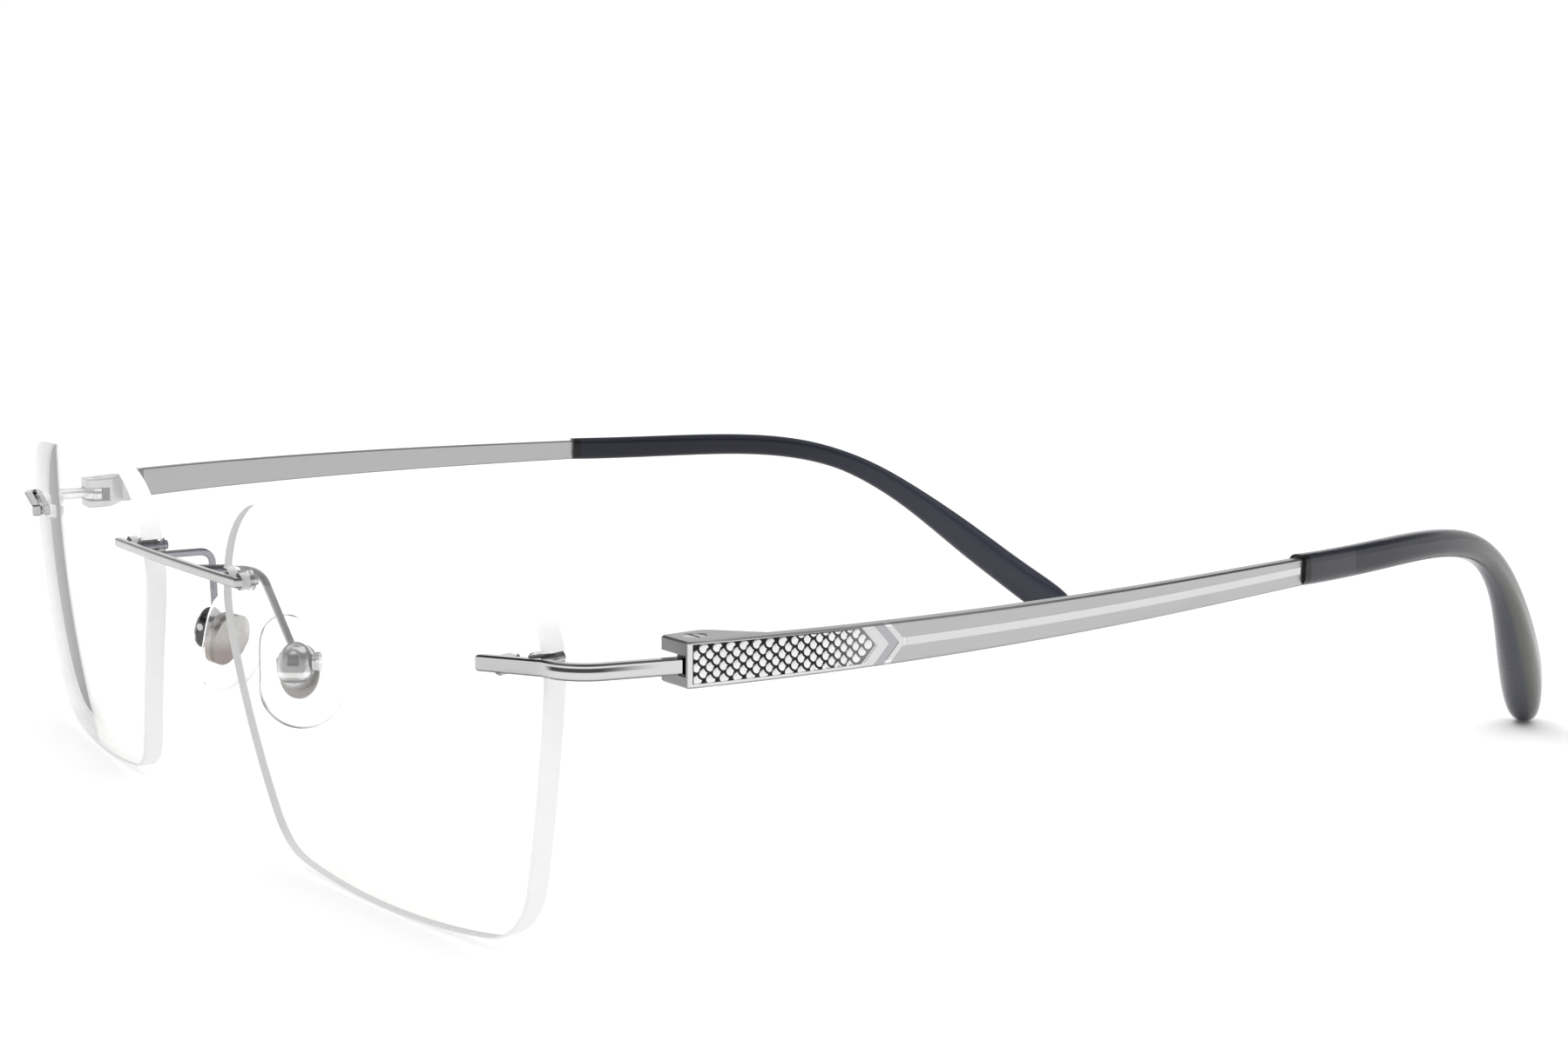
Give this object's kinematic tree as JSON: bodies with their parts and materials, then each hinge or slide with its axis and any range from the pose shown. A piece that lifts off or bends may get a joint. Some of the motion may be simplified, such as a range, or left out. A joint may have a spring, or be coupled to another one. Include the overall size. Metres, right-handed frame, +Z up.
{
  "type": "rimless eyeglasses",
  "caption": "Rimless eyeglasses: clear lenses pinned to a slim bridge bar and end pieces, rocking nose pads, and folding metal temples with curved dark tips.",
  "frame": {"origin": "on the surface the glasses stand on, under the middle of their overall box, in the plane of symmetry", "axes": "+X to the wearer's left, +Y from the lenses back towards the temple tips, +Z up"},
  "size_m": [0.1378, 0.1428, 0.032],
  "materials": {
    "lens": "polished clear lens",
    "polished_metal": "polished",
    "satin_metal": "fine satin with a polished centre line",
    "screw_metal": "bright turned",
    "inlay": "black enamel between bright raised scales",
    "acetate": "polished dark navy acetate",
    "clear_bushing": "clear moulded",
    "pad_insert": "warm grey satin",
    "silicone": "clear soft silicone"
  },
  "bodies": {
    "front": {"bridge_bar": "polished_metal", "lens_left": "lens", "lens_right": "lens", "hole_bushings": "clear_bushing", "notch_bushings": "clear_bushing", "end_piece_left": "polished_metal", "end_piece_right": "polished_metal", "pad_arm_left": "polished_metal", "pad_arm_right": "polished_metal", "pad_cup_left": "polished_metal", "pad_cup_right": "polished_metal", "pad_screws": "screw_metal"},
    "left_pad": {"nose_pad_left": "silicone", "pad_insert_left": "pad_insert"},
    "right_pad": {"nose_pad_right": "silicone", "pad_insert_right": "pad_insert"},
    "left_temple": {"temple_left": "satin_metal", "temple_inlay_left": "inlay", "temple_tip_left": "acetate", "hinge_screw_left": "screw_metal"},
    "right_temple": {"temple_right": "satin_metal", "temple_inlay_right": "inlay", "temple_tip_right": "acetate", "hinge_screw_right": "screw_metal"}
  },
  "joints": [
    {"name": "left_temple_fold", "type": "hinge", "parent": "front", "child": "left_temple", "pos_m": [0.06385, -0.05545, 0.0237], "axis": [0, 0, 1], "range_deg": [0, 81]},
    {"name": "right_temple_fold", "type": "hinge", "parent": "front", "child": "right_temple", "pos_m": [-0.06385, -0.05545, 0.0237], "axis": [0, 0, -1], "range_deg": [0, 76]},
    {"name": "left_pad_rock", "type": "hinge", "parent": "front", "child": "left_pad", "pos_m": [0.011, -0.0635, 0.0162], "axis": [0.5592, 0.829, 0], "range_deg": [-8, 8]},
    {"name": "right_pad_rock", "type": "hinge", "parent": "front", "child": "right_pad", "pos_m": [-0.011, -0.0635, 0.0162], "axis": [0.5592, -0.829, 0], "range_deg": [-8, 8]}
  ]
}
